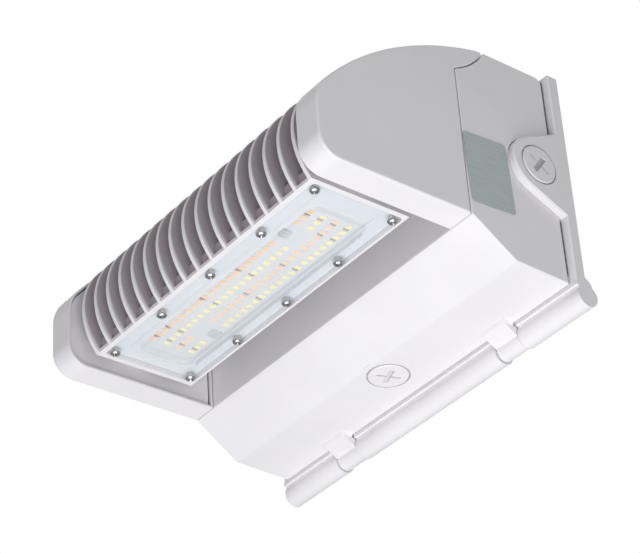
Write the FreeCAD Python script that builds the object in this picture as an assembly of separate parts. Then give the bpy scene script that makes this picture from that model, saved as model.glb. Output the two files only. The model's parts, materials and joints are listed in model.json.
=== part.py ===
import FreeCAD, Part
import math
import os

# Wall pack light with a tilting lamp head, in millimetres.
# X runs across the light, the wall is the plane Y = 0 and the light reaches towards -Y, +Z is up.
# The origin is on the wall, at the centre of the wire entry in the mounting plate.

V = FreeCAD.Vector

# ---------------------------------------------------------------- driving sizes
# mounting plate
flange_overhang = 4.0          # of the plate past each side of the housing
plate_height = 125.0
flange_thick = 6.0
flange_corner_radius = 2.0
flange_bevel = 0.8
rear_rim_depth = 4.0
rear_rim_thick = 3.0
rear_rim_inset = 10.5
rear_rim_corner_radius = 6.0
wall_gasket_thick = 3.0
wall_gasket_width = 7.0
web_thick = 3.0
rain_wall_end_gap = 12.0
rain_wall_gap = 5.0            # below the roof and above the floor of the housing
rain_wall_thick = 2.5
rain_wall_reach = 6.0
rain_wall_corner_radius = 4.0
wire_hole_radius = 11.0
grommet_lip = 2.0
grommet_lip_rise = 2.5
grommet_wall = 3.0
box_hole_spacing = 88.9        # between the two screws of a round ceiling or wall box
gang_hole_spacing = 83.3       # between the two screws of a single device box
box_hole_radius = 2.6
box_slot_length = 9.0
cover_lug_end_gap = 38.0       # from the side of the housing to the middle of a lug
cover_lug_width = 14.0
cover_lug_thick = 5.0
cover_lug_slot_gap = 0.4
cover_screw_from_tip = 12.5
cover_lug_reach = 21.0
lug_roof_clearance = 2.8

# conduit entries on the two sides and their flared bosses
conduit_from_flange = 14.5
conduit_boss_radius = 16.2
conduit_boss_flare = 25.5      # degrees, each side of the horizontal
conduit_boss_length = 17.0
conduit_boss_draft = 1.0
plug_radius = 10.45
plug_length = 11.0
plug_wall = 3.0
plug_face_thick = 4.0
plug_bevel = 0.5
plug_proud = 0.5               # of the metal round it
plug_mouth_gap = 0.7
plug_mouth_depth = 1.6
plug_slots = ((11.6, 2.7, 0), (13.0, 1.2, 90))    # length, width and turn of the two crossed slots
plug_slot_depth = 1.3
side_slot_turn = 143.0
bottom_slot_turn = 20.0

# hinge along the lower edge of the plate
bead_radius = 6.0
bead_wall_gap = 0.4
bead_drop = 6.0
bead_lip = 1.4
bead_neck_step = 1.5
bead_cove_radius = 1.6
bead_back_reach = 3.6
bead_shoulder_rise = 4.0
knuckle_from_end = 52.5
knuckle_width = 15.6
knuckle_side_gap = 0.7
knuckle_radius = 5.2
knuckle_back_slope = 0.1
hook_under_gap = 0.9
knuckle_pad_reach = 6.0
knuckle_pad_height = 1.3
knuckle_pad_flare = 1.6
hinge_pin_radius = 3.0
hinge_pin_bite = 9.0

# driver housing
body_width = 224.0
housing_wall = 3.0
seal_thick = 1.0
seal_width = 2.0
seal_boss_gap = 1.0            # between the seal and a conduit boss
top_height = 61.0              # above the wire entry
seam_from_flange = 59.0        # flange to the front wall
crease_from_flange = 34.0
crease_drop = 61.2             # below the wire entry
heel_drop = 62.3
arm_bottom_drop = 43.5
tail_from_flange = 38.7
notch_drop = 18.5              # below the top of the housing
notch_arc_radius = 46.0
rear_corner_radius = 4.0
crease_radius = 3.0
edge_radius = 1.2
bottom_plug_from_flange = 21.0
bottom_boss_radius = 14.0
bottom_boss_height = 11.0

# side arms: an outer cap and an inner arm plate on each side
arm_thick = 15.5               # side of the housing to the mouth of a cap
arm_plate_thick = 3.0
arm_plate_recess = 1.5         # behind the mouth of the cap
arm_plate_gap = 0.7            # all round, inside the lip of the cap
cap_lip = 1.1
seam_gap = 0.4
nose_from_flange = 148.0
brow_drop = 6.5
crown_from_flange = 43.0
crown_arc_radius = 185.0
chin_radius = 12.0
brow_radius = 22.0
crown_blend_radius = 25.0
tail_radius = 1.2
cap_wall = 2.6
cap_rim = 3.0                  # wall of the cap behind the arm plate
cap_post_radius = 4.6
arm_screw_circle = 23.0
cap_screw_heights = (-28.0, 26.0)
cap_screw_length = 12.0
cap_screw_post_radius = 3.5
cap_screw_post_depth = 9.0
cap_screw_post_gap = 0.2
arm_screw_length = 10.5
arm_screw_sink = 2.0

# lamp head
axis_from_flange = 106.8
axis_drop = 15.5
drum_radius = 37.5
face_below_axis = 24.0
drum_end_clearance = 0.5       # between the end fin and the flange of the pivot bush
fin_count = 17
fin_thick = 2.0
end_fin_thick = 2.2
base_thick = 9.0
base_edge_setback = 1.6        # of the front of the base behind the rim of the face
face_rim_thick = 2.0
core_radius = 11.0
wire_bore_radius = 4.0
wire_bore_depth = 30.0
lens_thick = 2.6
lens_front_rim = 3.4
lens_rear_rim = 1.6
lens_end_rim = 3.2
lens_fit_gap = 0.25
lens_corner_radius = 2.0
dome_height = 3.2
dome_side_inset = 10.0
dome_end_inset = 12.5
dome_corner_radius = 7.0
dome_rim_radius = 1.2
dome_wall = 1.4
gasket_thick = 1.2
gasket_width = 7.6
well_corner_radius = 3.0
board_thick = 1.6
board_corner_radius = 2.0
board_end_inset = 9.0
led_end_inset = 12.5           # end of the board to the first chip's centre
board_side_inset = 9.2
board_lens_gap = 0.3
led_rows = 4
led_columns = 27
led_length = 3.5
led_width = 2.8
led_height = 0.7
connector_column = 5           # columns in from the end of the board
connector_size = 5.4
connector_height = 1.6
connector_bevel = 0.5
connector_side_gap = 0.8       # to the wall of the dome
lens_screw_columns = 5
lens_screw_end = 3.5
lens_screw_edge = 3.4
screw_radius = 1.5
screw_head_radius = 2.8
screw_head_height = 1.9
lens_screw_length = 9.0
ground_screw_x = 30.0
ground_screw_drop = 30.0
ground_boss_radius = 4.0
ground_boss_height = 4.0
ground_screw_length = 9.0

# pivots of the lamp head
pivot_radius = 8.0
pivot_thread_end = 1.3         # past the nut
pivot_bite = 2.0
pivot_boss_radius = 16.0
pivot_boss_reach = 6.9
pivot_boss_fillet = 1.5
bush_wall = 2.0
bush_flange_radius = 14.0
bush_flange_thick = 1.0
running_clearance = 0.05
pivot_washer_thick = 1.2
pivot_nut_thick = 4.0
pivot_nut_flats = 24.0
pivot_washer_gap = 0.3

# driver and fasteners
driver_end_room = 37.0         # side of the housing to the end of the driver
driver_height = 50.0
driver_depth = 30.0
driver_centre_z = 14.0
driver_standoff = 2.0
driver_foot = 10.0
driver_foot_thick = 2.0
driver_corner_radius = 3.0
driver_screw_skin = 1.4        # metal left in the front wall beyond each driver screw
machine_screw_radius = 2.0
machine_head_radius = 3.9
machine_head_height = 2.6
cover_screw_radius = 2.4
cover_screw_head_radius = 4.8
cover_screw_head_height = 3.2
cover_screw_length = 20.0
cover_nut_size = 9.0
cover_nut_thick = 3.2
cover_nut_gap = 0.4
cover_nut_bevel = 0.8

merge_depth = 0.5              # that a piece reaches into the one it is fused with

# ---------------------------------------------------------------- places worked out from them
plate_width = body_width + 2 * flange_overhang
half_plate = plate_width / 2
plate_top = plate_height / 2
flange_back_y = -(wall_gasket_thick + rear_rim_depth)
flange_front_y = flange_back_y - flange_thick
housing_back_y = flange_front_y - seal_thick
half_body = body_width / 2
rain_wall_half_width = half_body - housing_wall - rain_wall_end_gap
rain_wall_top = top_height - housing_wall - rain_wall_gap
rain_wall_bottom = -heel_drop + housing_wall + rain_wall_gap
notch_height = top_height - notch_drop
cover_lug_x = half_body - cover_lug_end_gap
knuckle_centre_x = half_plate - knuckle_from_end
driver_length = body_width - 2 * driver_end_room
seam_y = flange_front_y - seam_from_flange
crease_y = flange_front_y - crease_from_flange
tail_y = flange_front_y - tail_from_flange
nose_y = flange_front_y - nose_from_flange
crown_y = flange_front_y - crown_from_flange
conduit_y = flange_front_y - conduit_from_flange
hinge_y = -(bead_radius + bead_wall_gap)
hinge_z = -plate_top - bead_drop
knuckle_gap_half = knuckle_width / 2 + knuckle_side_gap
cap_mouth_x = half_body - arm_thick
arm_face_x = cap_mouth_x + arm_plate_recess
arm_back_x = arm_face_x + arm_plate_thick
boss_end_x = arm_face_x - pivot_boss_reach
cap_screw_x = arm_back_x + cap_screw_post_radius + cap_screw_post_gap
drum_half_length = boss_end_x - bush_flange_thick - drum_end_clearance
pivot_nut_x = arm_back_x + pivot_washer_gap + pivot_washer_thick
pivot_end_x = pivot_nut_x + pivot_nut_thick + pivot_thread_end
axis_y = flange_front_y - axis_from_flange
axis_z = -axis_drop
face_z = axis_z - face_below_axis
face_half_depth = math.sqrt(drum_radius ** 2 - face_below_axis ** 2)
lens_front_y = axis_y - face_half_depth + lens_front_rim
lens_back_y = axis_y + face_half_depth - lens_rear_rim
lens_centre_y = (lens_front_y + lens_back_y) / 2
lens_half_length = drum_half_length - lens_end_rim
lens_screw_pitch = 2 * (lens_half_length - lens_screw_end) / (lens_screw_columns - 1)
led_pitch = 2 * (lens_half_length - board_end_inset - led_end_inset) / (led_columns - 1)
dome_half_depth = (lens_back_y - lens_front_y) / 2 - dome_side_inset
outer_row = dome_half_depth - dome_wall - connector_side_gap - connector_size / 2
led_row_pitch = 2 * outer_row / (led_rows - 1)
gasket_z = face_z + lens_thick
board_back_z = gasket_z + board_lens_gap + board_thick
cover_screw_y = flange_front_y - cover_screw_from_tip
cover_lug_top = top_height - housing_wall - lug_roof_clearance
bottom_plug_y = flange_front_y - bottom_plug_from_flange


# ---------------------------------------------------------------- shape helpers
def block(x0, x1, y0, y1, z0, z1):
    low = V(min(x0, x1), min(y0, y1), min(z0, z1))
    return Part.makeBox(abs(x1 - x0), abs(y1 - y0), abs(z1 - z0), low)


def rod_x(x0, x1, y, z, radius):
    return Part.makeCylinder(radius, abs(x1 - x0), V(min(x0, x1), y, z), V(1, 0, 0))


def rod_y(y0, y1, x, z, radius):
    return Part.makeCylinder(radius, abs(y1 - y0), V(x, min(y0, y1), z), V(0, 1, 0))


def rod_z(z0, z1, x, y, radius):
    return Part.makeCylinder(radius, abs(z1 - z0), V(x, y, min(z0, z1)), V(0, 0, 1))


def cone_x(x0, x1, y, z, radius0, radius1):
    return Part.makeCone(radius0, radius1, x1 - x0, V(x0, y, z), V(1, 0, 0))


def arc_middle(start, end, radius, side):
    """Middle point of an arc between two points; side is 1 or -1, left or right of the way."""
    dy = end[0] - start[0]
    dz = end[1] - start[1]
    chord = math.hypot(dy, dz)
    rise = radius - math.sqrt(radius ** 2 - (chord / 2) ** 2)
    return ((start[0] + end[0]) / 2 - side * rise * dz / chord,
            (start[1] + end[1]) / 2 + side * rise * dy / chord)


def arc_centre(start, end, radius, side):
    """Centre of the arc that arc_middle describes."""
    middle = arc_middle(start, end, radius, side)
    chord = math.hypot(end[0] - start[0], end[1] - start[1])
    return (middle[0] + side * radius * (end[1] - start[1]) / chord,
            middle[1] - side * radius * (end[0] - start[0]) / chord)


def side_face(path, x):
    """Flat face across X: a step (y, z) is a line, a step (middle, end) is an arc."""
    edges = []
    here = V(x, *path[0])
    for step in path[1:] + [path[0]]:
        if isinstance(step[0], tuple):
            end = V(x, *step[1])
            edges.append(Part.Arc(here, V(x, *step[0]), end).toShape())
        else:
            end = V(x, *step)
            edges.append(Part.makeLine(here, end))
        here = end
    return Part.Face(Part.Wire(edges))


def side_prism(path, x0, x1):
    return side_face(path, x0).extrude(V(x1 - x0, 0, 0))


def edges_along_x(shape, spots):
    """Edges parallel to X that run through any of the (y, z) spots."""
    found = []
    for edge in shape.Edges:
        ends = [vertex.Point for vertex in edge.Vertexes]
        if len(ends) != 2 or abs(ends[0].x - ends[1].x) < 1e-3:
            continue
        for spot in spots:
            if all(math.hypot(end.y - spot[0], end.z - spot[1]) < 0.02 for end in ends):
                found.append(edge)
    return found


def nearest_edge_x(shape, spot):
    """The edge parallel to X that runs nearest to the (y, z) spot."""
    along = [e for e in edges_along(shape, 0)]
    return min(along, key=lambda e: math.hypot(e.CenterOfMass.y - spot[0], e.CenterOfMass.z - spot[1]))


def edges_in_plane_x(shape, x, keep=None):
    """Edges that lie in the plane at x, those only that keep(middle point) accepts."""
    found = []
    for edge in shape.Edges:
        box = edge.BoundBox
        if abs(box.XMin - x) > 1e-3 or abs(box.XMax - x) > 1e-3:
            continue
        if keep is None or keep(edge.valueAt((edge.FirstParameter + edge.LastParameter) / 2)):
            found.append(edge)
    return found


def edges_along(shape, axis, keep=None):
    """Straight edges along one axis (0, 1 or 2), those only that keep(middle point) accepts."""
    found = []
    for edge in shape.Edges:
        if len(edge.Vertexes) != 2 or edge.Curve.TypeId != "Part::GeomLine":
            continue
        way = edge.Vertexes[1].Point - edge.Vertexes[0].Point
        if abs(way[axis]) < 0.999 * way.Length:
            continue
        if keep is None or keep(edge.CenterOfMass):
            found.append(edge)
    return found


def frame_ring(half_width, z0, z1, band, y0, y1, corner):
    """Rectangular ring about the Y axis, its band measured inwards."""
    outer = block(-half_width, half_width, y0, y1, z0, z1)
    outer = outer.makeFillet(corner, edges_along(outer, 1))
    inner = block(-half_width + band, half_width - band, y0, y1, z0 + band, z1 - band)
    if corner > band:
        inner = inner.makeFillet(corner - band, edges_along(inner, 1))
    return outer.cut(inner)


def mirrored(shape):
    return shape.mirror(V(0, 0, 0), V(1, 0, 0))


def fuse_all(shapes):
    return shapes[0].multiFuse(shapes[1:]).removeSplitter()


def pan_screw(radius, head_radius, head_height, length):
    """Pan-head screw along +Z from its seat at the origin, its head below the seat."""
    head = Part.makeCylinder(head_radius, head_height, V(0, 0, -head_height))
    rim = [e for e in head.Edges if abs(e.CenterOfMass.z + head_height) < 1e-6 and e.Closed]
    head = head.makeChamfer(head_height / 2, rim)
    return head.fuse(Part.makeCylinder(radius, length)).removeSplitter()


def turned(shape, axis, angle):
    copy = shape.copy()
    copy.rotate(V(0, 0, 0), axis, angle)
    return copy


def moved(shape, x, y, z):
    copy = shape.copy()
    copy.translate(V(x, y, z))
    return copy


# ---------------------------------------------------------------- outlines shared by several pieces
def housing_path(back_y):
    """Side outline of the driver housing, from its top back corner forwards and round."""
    tail = (tail_y, top_height)
    notch = (seam_y, notch_height)
    return [(back_y, top_height), tail,
            (arc_middle(tail, notch, notch_arc_radius, 1), notch),
            (seam_y, -arm_bottom_drop), (crease_y, -crease_drop), (back_y, -heel_drop)]


def arm_solid(x0, x1):
    """Rounded side outline of an arm, drawn from its lower back corner forwards and round."""
    back = seam_y - seam_gap
    chin = (nose_y, -arm_bottom_drop)
    brow = (nose_y, -brow_drop)
    crown = (crown_y, top_height)
    tail = (tail_y - seam_gap, top_height)
    notch = (back, notch_height + seam_gap)
    path = [(back, -arm_bottom_drop), chin, brow, (arc_middle(brow, crown, crown_arc_radius, 1), crown),
            tail, (arc_middle(tail, notch, notch_arc_radius, 1), notch)]
    solid = side_prism(path, x0, x1)
    for spot, radius in ((chin, chin_radius), (brow, brow_radius), (crown, crown_blend_radius),
                         (tail, tail_radius)):
        solid = solid.makeFillet(radius, [nearest_edge_x(solid, spot)])
    return solid


def arm_room(inset, x0, x1):
    """Inside of an arm: front, floor and roof run parallel to its outline, the back to the seam."""
    brow = (nose_y, -brow_drop)
    centre = arc_centre(brow, (crown_y, top_height), crown_arc_radius, 1)
    front = nose_y + inset
    back = seam_y - seam_gap - inset
    floor = -arm_bottom_drop + inset
    roof = [(y, centre[1] + math.sqrt((crown_arc_radius - inset) ** 2 - (y - centre[0]) ** 2))
            for y in (front, (front + back) / 2, back)]
    room = side_prism([(back, floor), (front, floor), roof[0], (roof[1], roof[2])], x0, x1)
    room = room.makeFillet(chin_radius - inset, [nearest_edge_x(room, (front, floor))])
    return room.makeFillet(brow_radius - inset, [nearest_edge_x(room, roof[0])])


def conduit_boss_path(grow, back_y):
    """Round nose about the conduit entry, flaring back to the flange in two tangent lines."""
    radius = conduit_boss_radius + grow
    flare = math.radians(conduit_boss_flare)
    top = (conduit_y - radius * math.sin(flare), radius * math.cos(flare))
    rise = (back_y - top[0]) * math.tan(flare)
    return [(back_y, top[1] + rise), top, ((conduit_y - radius, 0.0), (top[0], -top[1])),
            (back_y, -top[1] - rise)]


def hinge_gaps():
    """The two gaps in the hinge bead, where the knuckles of the housing sit."""
    half = knuckle_gap_half
    low = hinge_z - 2 * bead_radius
    return [block(side * knuckle_centre_x - half, side * knuckle_centre_x + half,
                  flange_front_y - merge_depth, 0.0, low, -plate_top) for side in (-1, 1)]


def fin_centres():
    first = -drum_half_length + end_fin_thick / 2
    pitch = -2 * first / (fin_count - 1)
    return [first + pitch * i for i in range(fin_count)]


def lens_screw_places():
    first = -lens_screw_pitch * (lens_screw_columns - 1) / 2
    rows = (lens_front_y + lens_screw_edge, lens_back_y - lens_screw_edge)
    return [(first + lens_screw_pitch * i, y) for y in rows for i in range(lens_screw_columns)]


def arm_screw_places():
    """Three screws round each pivot, hidden by the end of the lamp head."""
    spots = []
    for angle in (90, 210, 330):
        turn = math.radians(angle)
        spots.append((axis_y + arm_screw_circle * math.cos(turn),
                      axis_z + arm_screw_circle * math.sin(turn)))
    return spots


# ---------------------------------------------------------------- mounting plate group
def box_screw_slots():
    """Slots for the screws of a round box, level, and of a device box, upright."""
    slots = []
    run = box_slot_length / 2
    back = flange_front_y
    for side in (-1, 1):
        x = side * box_hole_spacing / 2
        z = side * gang_hole_spacing / 2
        level = [rod_y(back, 0, x - run, 0, box_hole_radius), rod_y(back, 0, x + run, 0, box_hole_radius),
                 block(x - run, x + run, back, 0, -box_hole_radius, box_hole_radius)]
        slots.append(fuse_all(level))
        slots.append(rod_y(back, 0, 0, z, box_hole_radius))
    return slots


def hinge_bead():
    """Round bead under the flange, with a cove below the lip and a hollow shoulder behind."""
    front = flange_front_y + bead_neck_step
    back = hinge_y + bead_back_reach
    meet_front = hinge_z + math.sqrt(bead_radius ** 2 - (front - hinge_y) ** 2)
    meet_back = hinge_z + math.sqrt(bead_radius ** 2 - bead_back_reach ** 2)
    shoulder = (flange_back_y, -plate_top + bead_shoulder_rise)
    low = (back, meet_back)
    shoulder_radius = math.hypot(low[0] - shoulder[0], low[1] - shoulder[1])
    path = [(front, -plate_top + bead_shoulder_rise), (front, hinge_z), (hinge_y, hinge_z), low,
            (arc_middle(low, shoulder, shoulder_radius, -1), shoulder)]
    neck = side_prism(path, -half_plate, half_plate)
    bead = neck.fuse(rod_x(-half_plate, half_plate, hinge_y, hinge_z, bead_radius)).removeSplitter()
    return bead.makeFillet(bead_cove_radius, [nearest_edge_x(bead, (front, meet_front))])


def back_plate():
    flange = block(-half_plate, half_plate, flange_front_y, flange_back_y, -plate_top, plate_top)
    flange = flange.makeFillet(flange_corner_radius, edges_along(flange, 1, lambda p: p.z > 0))
    front = flange_back_y - flange_thick / 2
    rims = edges_along(flange, 0, lambda p: p.y < front and p.z > 0)
    rims += edges_along(flange, 2, lambda p: p.y < front)
    flange = flange.makeChamfer(flange_bevel, rims)
    pocket = block(-rain_wall_half_width, rain_wall_half_width, flange_front_y,
                   flange_back_y - web_thick, rain_wall_bottom, rain_wall_top)
    flange = flange.cut(pocket)
    rim_top = plate_top - rear_rim_inset
    rim = frame_ring(half_plate - rear_rim_inset, -rim_top, rim_top, rear_rim_thick,
                     flange_back_y, flange_back_y + rear_rim_depth, rear_rim_corner_radius)
    rain_wall = frame_ring(rain_wall_half_width, rain_wall_bottom, rain_wall_top, rain_wall_thick,
                           flange_front_y - rain_wall_reach, flange_back_y, rain_wall_corner_radius)
    solids = [flange, rim, rain_wall]

    lip = block(-half_plate, half_plate, flange_front_y, flange_back_y, -plate_top - bead_lip, -plate_top)
    solids.append(hinge_bead().fuse(lip).cut(Part.makeCompound(hinge_gaps())))

    face_x = half_plate
    for side in (-1, 1):
        deep = side_prism(conduit_boss_path(0, flange_back_y), side * (face_x - conduit_boss_length),
                          side * face_x)
        outer = edges_in_plane_x(deep, side * face_x, lambda p: p.y < flange_back_y - 0.5)
        solids.append(deep.makeChamfer(conduit_boss_draft, outer))
        x = side * cover_lug_x
        solids.append(block(x - cover_lug_width / 2, x + cover_lug_width / 2,
                            flange_front_y - cover_lug_reach, flange_back_y,
                            cover_lug_top - cover_lug_thick, cover_lug_top))
    solids.append(rod_y(flange_front_y - ground_boss_height, flange_back_y, ground_screw_x,
                        -ground_screw_drop, ground_boss_radius))
    plate = fuse_all(solids)

    cuts = [rod_y(flange_front_y, 0, 0, 0, wire_hole_radius)] + box_screw_slots()
    for side in (-1, 1):
        cuts.append(rod_x(side * (face_x - conduit_boss_length), side * face_x, conduit_y, 0, plug_radius))
        cuts.append(rod_x(side * (face_x - plug_mouth_depth), side * face_x, conduit_y, 0,
                          plug_radius + plug_mouth_gap))
        cuts.append(hinge_pin(side))
        x = side * cover_lug_x
        slot = cover_screw_radius + cover_lug_slot_gap
        cuts.append(block(x - slot, x + slot, flange_front_y - cover_lug_reach, cover_screw_y,
                          0.0, top_height))
        cuts.append(rod_z(0.0, top_height, x, cover_screw_y, slot))
    cuts.append(ground_screw())
    return plate.cut(Part.makeCompound(cuts)).removeSplitter()


def wall_gasket():
    """Foam ring on the rear rim, as much wider inwards as outwards."""
    overlap = (wall_gasket_width - rear_rim_thick) / 2
    top = plate_top - rear_rim_inset + overlap
    return frame_ring(half_plate - rear_rim_inset + overlap, -top, top, wall_gasket_width,
                      -wall_gasket_thick, 0.0, rear_rim_corner_radius + overlap)


def wire_grommet():
    web_y = flange_back_y - web_thick
    lip_radius = wire_hole_radius + grommet_lip_rise
    body = fuse_all([rod_y(web_y - grommet_lip, web_y, 0, 0, lip_radius),
                     rod_y(web_y, flange_back_y, 0, 0, wire_hole_radius),
                     rod_y(flange_back_y, flange_back_y + grommet_lip, 0, 0, lip_radius)])
    return body.cut(rod_y(web_y - grommet_lip, flange_back_y + grommet_lip, 0, 0,
                          wire_hole_radius - grommet_wall))


def ground_screw():
    screw = pan_screw(machine_screw_radius, machine_head_radius, machine_head_height, ground_screw_length)
    return moved(turned(screw, V(1, 0, 0), -90), ground_screw_x, flange_front_y - ground_boss_height,
                 -ground_screw_drop)


def hinge_pin(side):
    half = knuckle_gap_half + hinge_pin_bite
    x = side * knuckle_centre_x
    return rod_x(x - half, x + half, hinge_y, hinge_z, hinge_pin_radius)


def plug(length):
    """Flush conduit plug along -Z from its face at the origin, with a crossed driver slot."""
    body = Part.makeCylinder(plug_radius, length, V(0, 0, -length))
    rim = [e for e in body.Edges if e.Closed and abs(e.CenterOfMass.z) < 1e-6]
    body = body.makeChamfer(plug_bevel, rim)
    for slot_length, slot_width, turn in plug_slots:
        slot = block(-slot_length / 2, slot_length / 2, -slot_width / 2, slot_width / 2, -plug_slot_depth, 0)
        body = body.cut(turned(slot, V(0, 0, 1), turn))
    hollow = Part.makeCylinder(plug_radius - plug_wall, length - plug_face_thick, V(0, 0, -length))
    return body.cut(hollow)


def side_plug(side):
    facing = turned(turned(plug(plug_length), V(0, 0, 1), side_slot_turn), V(0, 1, 0), side * 90)
    return moved(facing, side * (half_plate + plug_proud), conduit_y, 0)


# ---------------------------------------------------------------- driver housing group
def housing_shell():
    path = housing_path(housing_back_y)
    shell = side_prism(path, -half_body, half_body)
    shell = shell.makeFillet(rear_corner_radius, edges_along_x(shell, [(housing_back_y, top_height)]))
    shell = shell.makeFillet(crease_radius, edges_along_x(shell, [(crease_y, -crease_drop)]))
    shell = shell.makeFillet(edge_radius, edges_along_x(shell, [(seam_y, -arm_bottom_drop)]))
    rims = []
    for x in (-half_body, half_body):
        rims += edges_in_plane_x(shell, x, lambda p: p.z < -arm_bottom_drop - 2 and p.y < housing_back_y - 1)
        rims += edges_in_plane_x(shell, x, lambda p: p.z > top_height - 2 and p.y < housing_back_y - 5)
    shell = shell.makeChamfer(edge_radius / 2, rims)
    room = side_face(housing_path(housing_back_y + 2 * housing_wall), -half_body + housing_wall)
    room = room.makeOffset2D(-housing_wall).extrude(V(body_width - 2 * housing_wall, 0, 0))
    return shell.cut(room)


def knuckle_pad(x0, x1, front, floor, root):
    """Raised pad in front of a hook, its three free sides sloping into the underside of the housing."""
    flare = knuckle_pad_flare
    low = Part.makePolygon([V(x0, front, floor), V(x1, front, floor), V(x1, housing_back_y, floor),
                            V(x0, housing_back_y, floor), V(x0, front, floor)])
    high = Part.makePolygon([V(x0 - flare, front - flare, root), V(x1 + flare, front - flare, root),
                             V(x1 + flare, housing_back_y, root), V(x0 - flare, housing_back_y, root),
                             V(x0 - flare, front - flare, root)])
    return Part.makeLoft([low, high], True, True)


def knuckle(side):
    """C-shaped hinge hook under the housing, round the pin, open towards the wall and upwards."""
    x0 = side * knuckle_centre_x - knuckle_width / 2
    x1 = x0 + knuckle_width
    ring = rod_x(x0, x1, hinge_y, hinge_z, knuckle_radius)
    front = housing_back_y - knuckle_pad_reach
    floor = -heel_drop - knuckle_pad_height
    root = -heel_drop + housing_wall / 2
    path = [(front, root), (front, floor), (hinge_y - knuckle_radius, hinge_z), (hinge_y, hinge_z),
            (hinge_y - hinge_pin_radius, -plate_top - hook_under_gap),
            (housing_back_y, -plate_top - hook_under_gap), (housing_back_y, root)]
    web = side_prism(path, x0, x1)
    hook = fuse_all([ring, web, knuckle_pad(x0, x1, front, floor, root)])
    bore = rod_x(x0, x1, hinge_y, hinge_z, hinge_pin_radius + running_clearance)
    reach = 3 * knuckle_radius
    slope = reach * knuckle_back_slope
    mouth = side_prism([(hinge_y, hinge_z), (hinge_y + reach, hinge_z + slope),
                        (hinge_y + reach, hinge_z + reach), (hinge_y + slope, hinge_z + reach)],
                       x0, x1)
    return hook.cut(bore).cut(mouth)


def cap_screw_places():
    return [(side * cap_screw_x, z) for side in (-1, 1) for z in cap_screw_heights]


def driver_foot_places():
    x = driver_length / 2 + driver_foot / 2
    z0 = driver_centre_z - driver_height / 4
    return [(side * x, z) for side in (-1, 1) for z in (z0, z0 + driver_height / 2)]


def driver_housing():
    solids = [housing_shell()]
    solids += [knuckle(side) for side in (-1, 1)]
    floor = -heel_drop + housing_wall / 2
    solids.append(rod_z(floor, floor + bottom_boss_height, 0, bottom_plug_y, bottom_boss_radius))
    front_wall = seam_y + housing_wall
    for x, z in driver_foot_places():
        solids.append(rod_y(front_wall - merge_depth, front_wall + driver_standoff, x, z, driver_foot / 2))
    shell = fuse_all(solids)

    cuts = []
    for side in (-1, 1):
        boss = side_prism(conduit_boss_path(seam_gap, 0.0), side * (half_body - housing_wall - 1),
                          side * (half_body + 1))
        cuts.append(boss)
        cuts.append(rod_z(0.0, top_height + 1, side * cover_lug_x, cover_screw_y, cover_screw_radius))
    cuts.append(rod_z(-heel_drop - 3, floor + bottom_boss_height, 0, bottom_plug_y, plug_radius))
    mouth_top = bottom_plug_face_z() + plug_mouth_depth
    cuts.append(rod_z(-heel_drop - 3, mouth_top, 0, bottom_plug_y, plug_radius + plug_mouth_gap))
    for x, z in cap_screw_places():
        cuts.append(rod_y(seam_y - 1, front_wall + 1, x, z, machine_screw_radius))
    for x, z in driver_foot_places():
        cuts.append(rod_y(seam_y + driver_screw_skin, front_wall + driver_standoff, x, z,
                          machine_screw_radius))
    return shell.cut(Part.makeCompound(cuts)).removeSplitter()


def bottom_plug_face_z():
    along = (bottom_plug_y - crease_y) / (housing_back_y - crease_y)
    return -crease_drop + along * (crease_drop - heel_drop)


def bottom_plug():
    flipped = turned(turned(plug(plug_length), V(0, 0, 1), bottom_slot_turn), V(1, 0, 0), 180)
    return moved(flipped, 0, bottom_plug_y, bottom_plug_face_z() - plug_proud)


def housing_seal():
    """Two strips between flange and housing, above and below the conduit bosses."""
    inset = (housing_wall - seal_width) / 2
    half_width = half_body - inset
    outer = block(-half_width, half_width, housing_back_y, flange_front_y,
                  -heel_drop + inset, top_height - inset)
    inner = block(-half_width + seal_width, half_width - seal_width, housing_back_y, flange_front_y,
                  -heel_drop + inset + seal_width, top_height - inset - seal_width)
    ring = outer.cut(inner)
    path = conduit_boss_path(seal_boss_gap, 0.0)
    ring = ring.cut(side_prism(path, -half_body, half_body))
    corners = edges_along(ring, 1, lambda p: p.z > top_height - inset - 0.5)
    return ring.makeFillet(seal_width, corners)


def cover_screw(side):
    screw = pan_screw(cover_screw_radius, cover_screw_head_radius, cover_screw_head_height,
                      cover_screw_length)
    return moved(turned(screw, V(1, 0, 0), 180), side * cover_lug_x, cover_screw_y, top_height)


def cover_nut(side):
    top = cover_lug_top - cover_lug_thick - cover_nut_gap
    half = cover_nut_size / 2
    x = side * cover_lug_x
    nut = block(x - half, x + half, cover_screw_y - half, cover_screw_y + half,
                top - cover_nut_thick, top)
    nut = nut.makeChamfer(cover_nut_bevel, edges_along(nut, 2))
    return nut.cut(rod_z(top - cover_nut_thick, top, x, cover_screw_y, cover_screw_radius))


def side_cap(side):
    """Outer shell of an arm, its mouth stepped for the arm plate, with posts for its screws."""
    solid = arm_solid(cap_mouth_x, half_body)
    outer = edges_in_plane_x(solid, half_body, lambda p: p.z < top_height - 0.5)
    solid = solid.makeFillet(edge_radius, outer)
    solid = solid.cut(arm_room(cap_lip, cap_mouth_x, arm_back_x))
    solid = solid.cut(arm_room(cap_rim, arm_back_x, half_body - cap_wall))
    back = seam_y - seam_gap
    posts = [rod_x(arm_back_x, half_body - cap_wall / 2, y, z, cap_post_radius)
             for y, z in arm_screw_places()]
    for x, z in cap_screw_places():
        if x > 0:
            posts.append(rod_y(back - cap_rim - cap_screw_post_depth, back - cap_rim / 2, x, z,
                               cap_screw_post_radius))
    solid = fuse_all([solid] + posts)
    holes = [rod_x(arm_back_x, arm_face_x + arm_screw_length, y, z, machine_screw_radius)
             for y, z in arm_screw_places()]
    for x, z in cap_screw_places():
        if x > 0:
            holes.append(rod_y(seam_y + housing_wall - cap_screw_length, back, x, z, machine_screw_radius))
    solid = solid.cut(Part.makeCompound(holes))
    return solid if side > 0 else mirrored(solid)


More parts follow.
